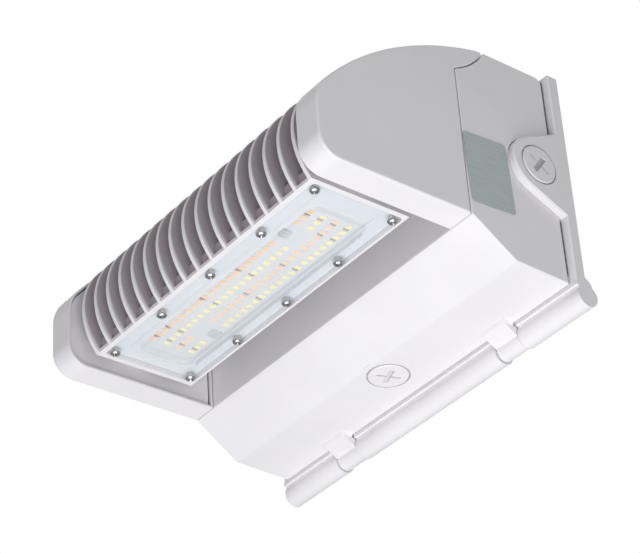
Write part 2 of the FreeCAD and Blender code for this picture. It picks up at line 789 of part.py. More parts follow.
def arm_plate(side):
    """Inner wall of an arm, set back into the mouth of its cap, with a boss round the pivot."""
    solid = arm_room(cap_lip + arm_plate_gap, arm_face_x, arm_back_x)
    solid = solid.fuse(rod_x(boss_end_x, arm_back_x, axis_y, axis_z, pivot_boss_radius)).removeSplitter()
    root = edges_in_plane_x(solid, arm_face_x,
                            lambda p: math.hypot(p.y - axis_y, p.z - axis_z) < pivot_boss_radius + 0.1)
    solid = solid.makeFillet(pivot_boss_fillet, root)
    cuts = [rod_x(boss_end_x, arm_back_x, axis_y, axis_z, pivot_radius + bush_wall)]
    for y, z in arm_screw_places():
        cuts.append(rod_x(arm_face_x, arm_back_x, y, z, machine_screw_radius))
        cuts.append(cone_x(arm_face_x, arm_face_x + arm_screw_sink, y, z, machine_head_radius,
                           machine_screw_radius))
    solid = solid.cut(Part.makeCompound(cuts))
    return solid if side > 0 else mirrored(solid)


def arm_screws():
    screws = []
    for y, z in arm_screw_places():
        head = cone_x(arm_face_x, arm_face_x + arm_screw_sink, y, z, machine_head_radius,
                      machine_screw_radius)
        shank = rod_x(arm_face_x + arm_screw_sink, arm_face_x + arm_screw_length, y, z,
                      machine_screw_radius)
        screw = head.fuse(shank)
        screws += [screw, mirrored(screw)]
    return Part.makeCompound(screws)


def cap_screws():
    screw = pan_screw(machine_screw_radius, machine_head_radius, machine_head_height, cap_screw_length)
    facing = turned(screw, V(1, 0, 0), 90)
    return Part.makeCompound([moved(facing, x, seam_y + housing_wall, z) for x, z in cap_screw_places()])


def driver_case():
    y0 = seam_y + housing_wall + driver_standoff
    half = driver_length / 2
    z0 = driver_centre_z - driver_height / 2
    case = block(-half, half, y0, y0 + driver_depth, z0, z0 + driver_height)
    case = case.makeFillet(driver_corner_radius, edges_along(case, 1))
    solids = [case]
    for x, z in driver_foot_places():
        inner = math.copysign(half - merge_depth, x)
        outer = math.copysign(half + driver_foot, x)
        solids.append(block(inner, outer, y0, y0 + driver_foot_thick, z - driver_foot / 2,
                            z + driver_foot / 2))
    case = fuse_all(solids)
    holes = [rod_y(y0, y0 + driver_foot_thick, x, z, machine_screw_radius) for x, z in driver_foot_places()]
    return case.cut(Part.makeCompound(holes))


def driver_screws():
    seat = seam_y + housing_wall + driver_standoff + driver_foot_thick
    length = seat - seam_y - driver_screw_skin
    facing = turned(pan_screw(machine_screw_radius, machine_head_radius, machine_head_height, length),
                    V(1, 0, 0), 90)
    return Part.makeCompound([moved(facing, x, seat, z) for x, z in driver_foot_places()])


# ---------------------------------------------------------------- pivots
def pivot_bush(side):
    body = rod_x(boss_end_x, arm_back_x, axis_y, axis_z, pivot_radius + bush_wall)
    flange = rod_x(boss_end_x - bush_flange_thick, boss_end_x, axis_y, axis_z, bush_flange_radius)
    bore = rod_x(boss_end_x - bush_flange_thick, arm_back_x, axis_y, axis_z,
                 pivot_radius + running_clearance)
    bush = body.fuse(flange).cut(bore).removeSplitter()
    return bush if side > 0 else mirrored(bush)


def pivot_shaft(side):
    x0 = drum_half_length - pivot_bite
    shaft = rod_x(x0, pivot_end_x, axis_y, axis_z, pivot_radius)
    shaft = shaft.cut(rod_x(x0, pivot_end_x, axis_y, axis_z, wire_bore_radius))
    return shaft if side > 0 else mirrored(shaft)


def pivot_washer(side):
    x0 = arm_back_x + pivot_washer_gap
    washer = rod_x(x0, pivot_nut_x, axis_y, axis_z, pivot_nut_flats / 2 + 1)
    washer = washer.cut(rod_x(x0, pivot_nut_x, axis_y, axis_z, pivot_radius))
    return washer if side > 0 else mirrored(washer)


def pivot_nut(side):
    corner = pivot_nut_flats / math.sqrt(3)
    turns = [math.radians(60 * i) for i in range(6)]
    points = [(axis_y + corner * math.cos(turn), axis_z + corner * math.sin(turn)) for turn in turns]
    nut = side_prism(points, pivot_nut_x, pivot_nut_x + pivot_nut_thick)
    nut = nut.cut(rod_x(pivot_nut_x, pivot_nut_x + pivot_nut_thick, axis_y, axis_z, pivot_radius))
    return nut if side > 0 else mirrored(nut)


# ---------------------------------------------------------------- lamp head group
def plate_z(half_length, y0, y1, z0, z1, corner):
    """Flat rectangular piece in the lamp face, with rounded corners."""
    piece = block(-half_length, half_length, y0, y1, z0, z1)
    return piece.makeFillet(corner, edges_along(piece, 2))


def lamp_pocket():
    """Room behind the lens: a seat for the lens and its gasket, and a well for the board."""
    gap = lens_fit_gap
    seat_top = gasket_z + gasket_thick
    seat = plate_z(lens_half_length + gap, lens_front_y - gap, lens_back_y + gap,
                   face_z, seat_top, lens_corner_radius + gap)
    well = plate_z(lens_half_length - gasket_width, lens_front_y + gasket_width,
                   lens_back_y - gasket_width, face_z, board_back_z, well_corner_radius)
    return seat.fuse(well)


def heat_sink():
    low = block(-drum_half_length, drum_half_length, axis_y - drum_radius, axis_y + drum_radius,
                axis_z - 2 * drum_radius, face_z)
    solids = []
    centres = fin_centres()
    for x in centres:
        thick = end_fin_thick if x in (centres[0], centres[-1]) else fin_thick
        disc = rod_x(x - thick / 2, x + thick / 2, axis_y, axis_z, drum_radius)
        solids.append(disc.cut(low))
    rim_top = face_z + face_rim_thick
    front = axis_y - face_half_depth
    back = axis_y + face_half_depth
    solids.append(block(-drum_half_length, drum_half_length, front, back, face_z, rim_top))
    solids.append(block(-drum_half_length, drum_half_length, front + base_edge_setback, back,
                        rim_top - merge_depth, face_z + base_thick))
    solids.append(rod_x(-drum_half_length, drum_half_length, axis_y, axis_z, core_radius))
    sink = fuse_all(solids)

    cuts = [lamp_pocket()]
    cuts += [rod_z(face_z, gasket_z + lens_screw_length, x, y, screw_radius) for x, y in lens_screw_places()]
    for side in (-1, 1):
        inner = side * (drum_half_length - pivot_bite)
        cuts.append(rod_x(inner, side * drum_half_length, axis_y, axis_z, pivot_radius))
        bore_end = side * (drum_half_length - wire_bore_depth)
        cuts.append(rod_x(bore_end, side * drum_half_length, axis_y, axis_z, wire_bore_radius))
    return sink.cut(Part.makeCompound(cuts)).removeSplitter()


def led_board():
    return plate_z(lens_half_length - board_end_inset, lens_front_y + board_side_inset,
                   lens_back_y - board_side_inset, board_back_z - board_thick, board_back_z,
                   board_corner_radius)


def led_places():
    """Centre of each chip, row by row, leaving room for the two board connectors."""
    spots = []
    first = -led_pitch * (led_columns - 1) / 2
    for row in range(led_rows):
        y = lens_centre_y + (row - (led_rows - 1) / 2) * led_row_pitch
        skip = led_columns - connector_column if row < led_rows / 2 else connector_column - 1
        for column in range(led_columns):
            if abs(column - skip) > 1:
                spots.append((row, first + column * led_pitch, y))
    return spots


def leds(warm):
    low = board_back_z - board_thick
    chips = []
    for row, x, y in led_places():
        if (row % 2 == 0) == warm:
            chips.append(block(x - led_width / 2, x + led_width / 2, y - led_length / 2, y + led_length / 2,
                               low - led_height, low))
    return Part.makeCompound(chips)


def board_connectors():
    low = board_back_z - board_thick
    first = -led_pitch * (led_columns - 1) / 2
    half = connector_size / 2
    pieces = []
    for row, column in ((0.0, led_columns - connector_column), (led_rows - 1.0, connector_column - 1)):
        x = first + column * led_pitch
        y = lens_centre_y + (row - (led_rows - 1) / 2) * led_row_pitch
        body = block(x - half, x + half, y - half, y + half, low - connector_height, low)
        pieces.append(body.makeChamfer(connector_bevel, edges_along(body, 2)))
    return Part.makeCompound(pieces)


def lens_gasket():
    z0 = gasket_z
    z1 = gasket_z + gasket_thick
    outer = plate_z(lens_half_length, lens_front_y, lens_back_y, z0, z1, lens_corner_radius)
    inner = plate_z(lens_half_length - gasket_width, lens_front_y + gasket_width,
                    lens_back_y - gasket_width, z0, z1, well_corner_radius)
    holes = [rod_z(z0, z1, x, y, screw_radius) for x, y in lens_screw_places()]
    return outer.cut(inner).cut(Part.makeCompound(holes))


def lens():
    """Clear cover: a flat flange and a shallow hollow dome over the board."""
    flange = plate_z(lens_half_length, lens_front_y, lens_back_y, face_z, gasket_z, lens_corner_radius)
    dome_length = lens_half_length - dome_end_inset
    front = lens_centre_y - dome_half_depth
    back = lens_centre_y + dome_half_depth
    dome = plate_z(dome_length, front, back, face_z - dome_height, face_z + merge_depth,
                   dome_corner_radius)
    rim = [e for e in dome.Edges if abs(e.BoundBox.ZMax - face_z + dome_height) < 1e-3]
    dome = dome.makeFillet(dome_rim_radius, rim)
    hollow = plate_z(dome_length - dome_wall, front + dome_wall, back - dome_wall,
                     face_z - dome_height + dome_wall, gasket_z, dome_corner_radius - dome_wall)
    holes = [rod_z(face_z, gasket_z, x, y, screw_radius) for x, y in lens_screw_places()]
    return flange.fuse(dome).cut(hollow).cut(Part.makeCompound(holes)).removeSplitter()


def lens_screws():
    screw = pan_screw(screw_radius, screw_head_radius, screw_head_height, lens_screw_length)
    return Part.makeCompound([moved(screw, x, y, face_z) for x, y in lens_screw_places()])


# ---------------------------------------------------------------- the assembly
def sub_parts():
    parts = {
        "back_plate": back_plate(),
        "wall_gasket": wall_gasket(),
        "wire_grommet": wire_grommet(),
        "ground_screw": ground_screw(),
        "driver_housing": driver_housing(),
        "housing_seal": housing_seal(),
        "bottom_plug": bottom_plug(),
        "cover_screws": Part.makeCompound([cover_screw(-1), cover_screw(1)]),
        "cover_nuts": Part.makeCompound([cover_nut(-1), cover_nut(1)]),
        "arm_screws": arm_screws(),
        "cap_screws": cap_screws(),
        "driver_case": driver_case(),
        "driver_screws": driver_screws(),
        "heat_sink": heat_sink(),
        "led_board": led_board(),
        "warm_leds": leds(True),
        "cool_leds": leds(False),
        "board_connectors": board_connectors(),
        "lens_gasket": lens_gasket(),
        "lens": lens(),
        "lens_screws": lens_screws(),
    }
    for name, side in (("left", -1), ("right", 1)):
        parts[name + "_conduit_plug"] = side_plug(side)
        parts[name + "_hinge_pin"] = hinge_pin(side)
        parts[name + "_side_cap"] = side_cap(side)
        parts[name + "_arm_plate"] = arm_plate(side)
        parts[name + "_pivot_bush"] = pivot_bush(side)
        parts[name + "_pivot_shaft"] = pivot_shaft(side)
        parts[name + "_pivot_washer"] = pivot_washer(side)
        parts[name + "_pivot_nut"] = pivot_nut(side)
    return parts


os.makedirs("parts", exist_ok=True)
for part_name, part_shape in sub_parts().items():
    part_shape.exportStep("parts/" + part_name + ".step")
    print(part_name, len(part_shape.Solids), part_shape.isValid(), round(part_shape.Volume / 1000, 2))
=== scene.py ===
import json
import math

import bmesh
import bpy
from mathutils import Euler, Matrix, Vector


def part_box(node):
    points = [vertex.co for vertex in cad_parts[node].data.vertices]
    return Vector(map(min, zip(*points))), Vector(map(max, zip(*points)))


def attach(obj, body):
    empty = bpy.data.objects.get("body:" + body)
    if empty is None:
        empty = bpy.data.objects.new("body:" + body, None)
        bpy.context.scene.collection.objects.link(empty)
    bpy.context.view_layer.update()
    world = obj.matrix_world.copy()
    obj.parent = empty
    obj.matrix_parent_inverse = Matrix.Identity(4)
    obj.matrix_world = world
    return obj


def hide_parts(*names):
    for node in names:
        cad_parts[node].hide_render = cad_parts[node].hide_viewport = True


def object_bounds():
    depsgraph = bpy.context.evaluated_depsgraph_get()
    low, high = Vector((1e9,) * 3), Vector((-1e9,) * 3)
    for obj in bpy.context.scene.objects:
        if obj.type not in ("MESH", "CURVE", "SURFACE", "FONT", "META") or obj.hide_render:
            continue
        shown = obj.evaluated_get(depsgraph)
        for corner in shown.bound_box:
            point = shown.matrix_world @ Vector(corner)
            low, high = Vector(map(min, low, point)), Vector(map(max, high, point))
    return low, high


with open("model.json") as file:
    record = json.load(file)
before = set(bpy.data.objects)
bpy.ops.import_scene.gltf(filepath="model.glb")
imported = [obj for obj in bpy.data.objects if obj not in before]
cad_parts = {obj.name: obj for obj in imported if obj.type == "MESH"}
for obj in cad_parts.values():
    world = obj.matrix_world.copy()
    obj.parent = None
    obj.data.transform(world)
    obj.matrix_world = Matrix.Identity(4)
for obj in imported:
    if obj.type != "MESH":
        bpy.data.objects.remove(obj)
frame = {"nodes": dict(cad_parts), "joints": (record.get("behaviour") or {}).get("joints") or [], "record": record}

cad_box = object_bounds()

# The scene is in metres, in the frame of the CAD model: the wall is the plane Y = 0 and +Z is up.
MM = 0.001
nodes = frame["nodes"]
# a point on the axis that the lamp head tilts about
axis = Vector(next(j for j in frame["joints"] if j["name"] == "head_tilt")["pos_m"])
slot_of = {part["node"]: part["material_slot"] for part in frame["record"]["subparts"]}
body_of = {node: body for body, names in frame["record"]["behaviour"]["bodies"].items() for node in names}

# ---------------------------------------------------------------- camera, lights and floor
camera_place = Vector((0.75630, -0.69890, -0.66691))
camera_azimuth = 50.42          # degrees, about Z
camera_elevation = -33.555      # degrees, from below
camera_roll = -4.042            # degrees
sensor_width = 36.0             # mm
focal_length = 132.17           # mm

# name, azimuth and elevation that it shines from in degrees, distance and width in m, power in W
soft_lights = (("under_light", 40.0, -66.0, 0.95, 0.9, 8.7),
               ("side_light", 75.0, -8.0, 1.6, 1.2, 3.2),
               ("top_light", 0.0, 75.0, 2.0, 1.6, 5.7))
world_light = 0.25              # strength of the light from all round
background_white = 1.0          # strength that the camera, gloss and glass see
floor_height = -1.5
floor_half_width = 30.0

# ---------------------------------------------------------------- sizes of the pieces made here
weld = 0.001 * MM               # points closer together than this are one
sharp_angle = math.radians(32)
turned_sides = 40
corner_steps = 4                # in the quarter turn of a rounded corner

# screws: shares of the CAD head's radius and height, unless said otherwise
recess_half_length = 0.62
recess_half_width = 0.16
# height, and what is left there of that length and width
recess_levels = ((0.38, 0.45, 0.55), (1.0, 1.0, 1.0), (1.1, 1.05, 1.05))
# radius and height of each ring of a sunk head
sunk_rings = ((0.985, 0.97), (0.96, 1.0), (0.0, 1.0))
pan_foot = 0.93
pan_rim = 0.95
pan_rim_bottom = 0.05
pan_rim_top = 0.12
pan_top = 0.995
pan_fullness = 0.93             # 1 gives a quarter ellipse, less a fuller dome
pan_steps = 8
shank_tip = 0.12                # of the shank's radius
screw_turn = 37                 # degrees from one screw of a group to the next

# chips
chip_wall = 0.07 * MM
chip_corner = 0.18 * MM
chip_edge = 0.05 * MM
chip_edge_start = 0.94          # of the chip's height
cavity_slope = 0.12 * MM
cavity_floor = 0.35             # of the chip's height
window_clearance = 0.01 * MM
window_dome = ((1.0, 0.88), (0.92, 0.935), (0.7, 0.965), (0.35, 0.98))     # shares of size and height

# connectors: shares of their half sizes, unless said otherwise
connector_corner = 0.5 * MM
connector_edge = 0.35 * MM
pole_place = 0.46
release_place = 0.25
release_length = 0.24
release_width = 0.34
release_levels = (0.75, 1.2)    # floor and top of its cutter, of the connector's height
entry_level = 0.5               # of the connector's height
entry_radius = 0.42 * MM
entry_start = -1.2              # of its cutter; the connector's own side is at -1
entry_length = 0.8

# resistors between the chips: the columns that one follows, row by row from the front
marks_after = ((0, 2, 8, 14, 25), (0, 2, 8, 14, 25), (0, 11, 17, 23, 25), (0, 11, 17, 23, 25))
mark_width = 0.8 * MM
mark_length = 3.3 * MM
mark_height = 0.45 * MM
mark_corner = 0.12 * MM
mark_shoulder = 0.85            # of its height, where the top starts to draw in
mark_top_half_width = 0.44      # of its width
mark_top_half_length = 0.48     # of its length
mark_top_corner = 0.1 * MM

# lamp head, as the CAD model has it
base_side_reach = 27.2 * MM     # of the finned base, forward of the tilting axis
lens_dome_side_inset = 10.0 * MM
lens_dome_end_inset = 12.5 * MM

# lens gasket
gasket_width = 9.0 * MM         # with the lip that closes the gap to the board
gasket_corner = 2.0 * MM
gasket_round = 0.2 * MM
gasket_clearance = 0.04 * MM
gasket_hole_radius = 1.6 * MM
gasket_hole_ends = (-1 * MM, 3 * MM)    # below and above the strip

# blank plate: Y and Z in mm of its front top, front bottom, rear bottom and rear top corners
plate_corners = ((-72.3, 4.9), (-71.3, -35.8), (-43.5, -34.3), (-45.1, 6.7))
plate_thick = 0.25 * MM
plate_corner_radius = 2.5 * MM
plate_corner_steps = 6


# ---------------------------------------------------------------- material helpers
class Shader:
    """A node material with one Principled shader, and short calls for the nodes that feed it."""

    def __init__(self, name, **values):
        self.material = bpy.data.materials.new(name)
        self.material.use_nodes = True
        self.tree = self.material.node_tree
        self.main = next(n for n in self.tree.nodes if n.type == "BSDF_PRINCIPLED")
        for socket, value in values.items():
            self.main.inputs[socket.replace("_", " ")].default_value = value
        self.where = self.add("ShaderNodeTexCoord")

    def add(self, kind, **settings):
        node = self.tree.nodes.new(kind)
        for key, value in settings.items():
            setattr(node, key, value)
        return node

    def link(self, source, target):
        self.tree.links.new(source, target)

    def parts(self, coordinates):
        """X, Y and Z of the point (Object) or of the surface's direction (Normal)."""
        node = self.add("ShaderNodeSeparateXYZ")
        self.link(self.where.outputs[coordinates], node.inputs["Vector"])
        return node.outputs

    def noise(self, size, detail=2.0, stretch=None):
        """Noise whose features are about that many metres across, from 0 to 1."""
        node = self.add("ShaderNodeTexNoise")
        node.inputs["Scale"].default_value = 1.0 / size
        node.inputs["Detail"].default_value = detail
        source = self.where.outputs["Object"]
        if stretch is not None:
            mapping = self.add("ShaderNodeMapping")
            mapping.inputs["Scale"].default_value = stretch
            self.link(source, mapping.inputs["Vector"])
            source = mapping.outputs["Vector"]
        self.link(source, node.inputs["Vector"])
        return node.outputs["Fac"]

    def spread(self, value, low, high, start=0.3, end=0.7):
        """The value's range from start to end, spread smoothly over low to high."""
        node = self.add("ShaderNodeMapRange", interpolation_type="SMOOTHSTEP")
        for socket, number in (("From Min", start), ("From Max", end), ("To Min", low), ("To Max", high)):
            node.inputs[socket].default_value = number
        self.link(value, node.inputs["Value"])
        return node.outputs["Result"]

    def rise(self, value, start, end):
        """0 up to start, 1 from end on, and smooth between them."""
        return self.spread(value, 0.0, 1.0, start, end)

    def fall(self, value, start, end):
        """1 up to start, 0 from end on, and smooth between them."""
        return self.spread(value, 1.0, 0.0, start, end)

    def maths(self, operation, *values):
        node = self.add("ShaderNodeMath", operation=operation)
        for socket, value in zip(node.inputs, values):
            if isinstance(value, (int, float)):
                socket.default_value = value
            else:
                self.link(value, socket)
        return node.outputs["Value"]

    def mix(self, factor, first, second):
        """Colour between two colours or colour sockets."""
        node = self.add("ShaderNodeMix", data_type="RGBA")
        self.link(factor, node.inputs["Factor"])
        for socket, colour in ((node.inputs[6], first), (node.inputs[7], second)):
            if isinstance(colour, tuple):
                socket.default_value = (*colour, 1.0)
            else:
                self.link(colour, socket)
        return node.outputs[2]

    def clouds(self, size, first, second, stretch=None):
        """Soft patches of two colours, about that many metres across."""
        return self.mix(self.rise(self.noise(size, stretch=stretch), 0.3, 0.7), first, second)

    def colour(self, socket):
        self.link(socket, self.main.inputs["Base Color"])

    def roughness(self, size, low, high):
        """Roughness from low to high, in soft patches of that size."""
        self.link(self.spread(self.noise(size), low, high), self.main.inputs["Roughness"])

    def bump(self, height, depth, strength=1.0, edge=0.0):
        """Bump of that depth in metres; edge rounds the look of sharp edges by that radius."""
        node = self.add("ShaderNodeBump")
        node.inputs["Strength"].default_value = strength
        node.inputs["Distance"].default_value = depth
        self.link(height, node.inputs["Height"])
        if edge:
            bevel = self.add("ShaderNodeBevel", samples=4)
            bevel.inputs["Radius"].default_value = edge
            self.link(bevel.outputs["Normal"], node.inputs["Normal"])
        self.link(node.outputs["Normal"], self.main.inputs["Normal"])


def powder_coat(name, edge=0.35 * MM):
    """Shader of the white powder coat, with faint orange peel, and its colour, which clouds faintly."""
    s = Shader(name, IOR=1.5)
    s.roughness(6 * MM, 0.36, 0.46)
    s.bump(s.noise(0.9 * MM), 0.03 * MM, strength=0.6, edge=edge)
    return s, s.clouds(45 * MM, (0.84, 0.826, 0.862), (0.87, 0.856, 0.89))


# ---------------------------------------------------------------- materials
def white_powder():
    s, coat = powder_coat("white_powder")
    s.colour(coat)
    return s.material


def joint_shade_powder():
    """Coat of the caps and arm plates, with painted shade from ambient occlusion that darkens it down in the
    narrow joint between the two.
    """
    s, coat = powder_coat("joint_shade_powder")
    joint = s.add("ShaderNodeAmbientOcclusion", samples=8)
    joint.inputs["Distance"].default_value = 1.4 * MM
    # painted shade: grey where the ambient occlusion within 1.4 mm is strong
    s.colour(s.mix(s.rise(joint.outputs["AO"], 0.35, 0.65), (0.36, 0.345, 0.37), coat))
    return s.material


def plug_powder(name, across, face, slot_shade):
    """Coat of a conduit plug, with painted shade that greys it down in its crossed slot and round its rim."""
    s, coat = powder_coat(name, edge=0.3 * MM)
    depth = s.maths("ABSOLUTE", s.maths("SUBTRACT", s.parts("Object")[across], face))
    # painted shade from 0.35 mm below the face inwards
    s.colour(s.mix(s.rise(depth, 0.35 * MM, 1.2 * MM), coat, slot_shade))
    return s.material


def sink_powder():
    """The same coat on the fins, with painted shade that turns it brown-grey deep in the gaps between them."""
    s = Shader("sink_powder", IOR=1.5)
    low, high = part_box("heat_sink")
    radius = high.z - axis.z
    point = s.parts("Object")
    normal = s.parts("Normal")
    along_y = s.maths("SUBTRACT", point["Y"], axis.y)
    along_z = s.maths("SUBTRACT", point["Z"], axis.z)
    reach = s.maths("SQRT", s.maths("ADD", s.maths("MULTIPLY", along_y, along_y),
                                    s.maths("MULTIPLY", along_z, along_z)))

    # how deep a point lies between the fins; lower down the painted shade starts further in from the rim
    unshaded_width = s.spread(along_z, 3.2 * MM, 0.5 * MM, -20 * MM, 4 * MM)
    depth = s.maths("DIVIDE", s.maths("SUBTRACT", radius, reach), unshaded_width)
    inside = s.rise(depth, 0.12, 1.0)

    # the sides of the fins, outside the base or over it
    base_side = base_side_reach - 0.8 * MM
    sideways = s.rise(s.maths("ABSOLUTE", normal["X"]), 0.4, 0.9)
    beside_base = s.rise(s.maths("ABSOLUTE", along_y), base_side, base_side + 0.4 * MM)
    over_base = s.rise(point["Z"], low.z + 5 * MM, low.z + 6 * MM)
    fin_side = s.maths("MULTIPLY", s.maths("MULTIPLY", sideways, inside),
                       s.maths("MAXIMUM", beside_base, over_base))

    # the front of the base between the fins, above its rim
    forward = s.rise(s.maths("MULTIPLY", normal["Y"], -1.0), 0.4, 0.9)
    before_base = s.fall(along_y, -base_side - 0.4 * MM, -base_side)
    base_front = s.maths("MULTIPLY", s.maths("MULTIPLY", forward, inside), before_base)
    above_rim = s.rise(point["Z"], low.z + 2.2 * MM, low.z + 3.4 * MM)

    # painted shade: the fin sides and the base front deep in the gaps, above the rim, turn brown-grey
    gap = s.maths("MULTIPLY", s.maths("MAXIMUM", fin_side, base_front), above_rim)
    coat = s.clouds(20 * MM, (0.83, 0.815, 0.84), (0.86, 0.845, 0.87))
    s.colour(s.mix(gap, coat, (0.48, 0.43, 0.47)))
    s.roughness(5 * MM, 0.40, 0.52)
    s.bump(s.noise(0.9 * MM), 0.03 * MM, strength=0.6, edge=0.25 * MM)
    return s.material


def stainless():
    s = Shader("stainless", Metallic=1.0)
    s.colour(s.clouds(1.5 * MM, (0.66, 0.66, 0.67), (0.78, 0.78, 0.79)))
    s.roughness(0.8 * MM, 0.16, 0.30)
    s.bump(s.noise(0.25 * MM), 0.01 * MM, strength=0.4)
    return s.material


def screw_metal():
    """Plated steel of the screws, with a fine grain."""
    s = Shader("screw_metal", Metallic=1.0)
    s.colour(s.clouds(0.8 * MM, (0.46, 0.46, 0.47), (0.58, 0.58, 0.59)))
    s.roughness(0.5 * MM, 0.24, 0.36)
    s.bump(s.noise(0.25 * MM), 0.01 * MM, strength=0.5, edge=0.15 * MM)
    return s.material


def pin_steel():
    """Steel of the hinge pins and the pivots' shafts, washers and nuts, its grain along the X axis."""
    s = Shader("pin_steel", Metallic=1.0)
    s.colour(s.clouds(2 * MM, (0.42, 0.42, 0.43), (0.55, 0.55, 0.56), stretch=(0.1, 1, 1)))
    s.roughness(1.2 * MM, 0.28, 0.42)
    s.bump(s.noise(0.3 * MM, stretch=(0.05, 1, 1)), 0.01 * MM)
    return s.material


def ground_green():
    s = Shader("ground_green")
    s.colour(s.clouds(2 * MM, (0.02, 0.20, 0.06), (0.03, 0.27, 0.09)))
    s.roughness(1 * MM, 0.3, 0.5)
    s.bump(s.noise(0.4 * MM), 0.01 * MM)
    return s.material


def foam():
    """Closed-cell foam of the wall gasket."""
    s = Shader("foam", Roughness=0.95)
    s.colour(s.clouds(1.2 * MM, (0.085, 0.085, 0.09), (0.13, 0.13, 0.135)))
    s.bump(s.noise(0.7 * MM, detail=4.0), 0.15 * MM)
    return s.material


def silicone():
    s = Shader("silicone", IOR=1.42)
    s.colour(s.clouds(3 * MM, (0.80, 0.835, 0.87), (0.85, 0.88, 0.91)))
    s.roughness(2 * MM, 0.5, 0.65)
    s.bump(s.noise(0.6 * MM), 0.02 * MM)
    return s.material


def dark_seal():
    """Charcoal silicone of the seal between housing and plate, pale grey along its bottom run."""
    s = Shader("dark_seal", IOR=1.42)
    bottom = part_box("housing_seal")[0].z
    above_bottom_run = s.rise(s.parts("Object")["Z"], bottom + 3 * MM, bottom + 6 * MM)
    charcoal = s.clouds(3 * MM, (0.10, 0.10, 0.105), (0.14, 0.14, 0.145))
    s.colour(s.mix(above_bottom_run, (0.50, 0.49, 0.50), charcoal))
    s.roughness(2 * MM, 0.6, 0.75)
    s.bump(s.noise(0.6 * MM), 0.02 * MM)
    return s.material


def nylon():
    s = Shader("nylon", IOR=1.53)
    s.colour(s.clouds(2 * MM, (0.70, 0.69, 0.66), (0.76, 0.75, 0.72)))
    s.roughness(1 * MM, 0.42, 0.55)
    s.bump(s.noise(0.5 * MM), 0.01 * MM)
    return s.material


def driver_metal():
    s = Shader("driver_metal", Metallic=0.6)
    s.colour(s.clouds(4 * MM, (0.56, 0.57, 0.58), (0.64, 0.65, 0.66)))
    s.roughness(2 * MM, 0.35, 0.5)
    s.bump(s.noise(0.6 * MM), 0.02 * MM)
    return s.material


def board_white():
    """White solder mask with faint raised tracks."""
    s = Shader("board_white", IOR=1.5)
    wave = s.add("ShaderNodeTexWave", bands_direction="Y")
    wave.inputs["Scale"].default_value = 1.0 / (6.0 * MM)
    wave.inputs["Distortion"].default_value = 0.6
    s.link(s.where.outputs["Object"], wave.inputs["Vector"])
    tracks = s.rise(wave.outputs["Fac"], 0.85, 0.92)
    s.colour(s.mix(tracks, (0.84, 0.87, 0.90), (0.79, 0.82, 0.86)))
    s.roughness(3 * MM, 0.40, 0.5)
    s.bump(tracks, 0.03 * MM)
    return s.material


def phosphor(name, light, deep):
    """Phosphor window of a chip, a little uneven in depth, with a faint painted glow in its own colour that
    brightens it beyond the light it gets.
    """
    # painted light: the emission makes the window glow faintly in its own colour
    s = Shader(name, Emission_Strength=0.26)
    shade = s.clouds(1.1 * MM, light, deep)
    s.colour(shade)
    s.link(shade, s.main.inputs["Emission Color"])
    s.roughness(0.6 * MM, 0.3, 0.45)
    s.bump(s.noise(0.5 * MM), 0.02 * MM)
    return s.material


def chip_frame():
    """White moulded frame round a chip's window."""
    s = Shader("chip_frame", IOR=1.5)
    s.colour(s.clouds(0.8 * MM, (0.88, 0.88, 0.86), (0.93, 0.93, 0.91)))
    s.roughness(0.5 * MM, 0.35, 0.5)
    s.bump(s.noise(0.2 * MM), 0.01 * MM)
    return s.material


def board_mark():
    """Dark ceramic body of the small resistors between the chips."""
    s = Shader("board_mark")
    s.colour(s.clouds(0.4 * MM, (0.26, 0.26, 0.27), (0.32, 0.32, 0.33)))
    s.roughness(0.5 * MM, 0.35, 0.55)
    s.bump(s.noise(0.2 * MM), 0.01 * MM)
    return s.material


def connector():
    s = Shader("connector")
    s.colour(s.clouds(2 * MM, (0.58, 0.62, 0.63), (0.64, 0.68, 0.69)))
    s.roughness(1 * MM, 0.4, 0.55)
    s.bump(s.noise(0.5 * MM), 0.02 * MM)
    return s.material


def clear_lens():
    """Clear cover, faintly blue and milky; its upright faces are clearest, and a thin line of painted shade, grey
    and less clear, runs along the rear edge of its dome.
    """
    s = Shader("clear_lens", IOR=1.49, Roughness=0.12)
    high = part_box("lens")[1]
    point = s.parts("Object")
    off_edge = s.maths("ABSOLUTE", s.maths("SUBTRACT", point["Y"], high.y - lens_dome_side_inset))
    from_end = s.maths("SUBTRACT", high.x - lens_dome_end_inset, s.maths("ABSOLUTE", point["X"]))
    # painted shade along the rear edge of the dome, fading out towards its ends
    rear_edge_shade = s.maths("MULTIPLY", s.fall(off_edge, 0.1 * MM, 0.4 * MM), s.rise(from_end, -1 * MM, 4 * MM))
    milk = s.clouds(24 * MM, (0.82, 0.87, 0.93), (0.88, 0.92, 0.96))
    s.colour(s.mix(rear_edge_shade, milk, (0.45, 0.50, 0.57)))
    level = s.spread(s.maths("ABSOLUTE", s.parts("Normal")["Z"]), 0.06, 0.2, 0.1, 0.8)
    s.link(s.maths("MAXIMUM", level, s.maths("MULTIPLY", rear_edge_shade, 0.45)), s.main.inputs["Alpha"])
    s.bump(s.noise(3 * MM), 0.01 * MM, strength=0.3)
    return s.material


def blank_plate():
    """Thin anodised plate with nothing on it: faint brushing from front to back."""
    s = Shader("blank_plate", Metallic=0.25)
    s.colour(s.clouds(0.9 * MM, (0.40, 0.455, 0.465), (0.44, 0.495, 0.505), stretch=(1, 0.06, 1)))
    s.roughness(2 * MM, 0.42, 0.55)
    s.bump(s.noise(0.5 * MM, stretch=(1, 0.05, 1)), 0.01 * MM)
    return s.material


def pale_floor():
    s = Shader("floor", Roughness=0.9)
    s.colour(s.clouds(0.4, (0.90, 0.90, 0.90), (0.93, 0.93, 0.93)))
    return s.material


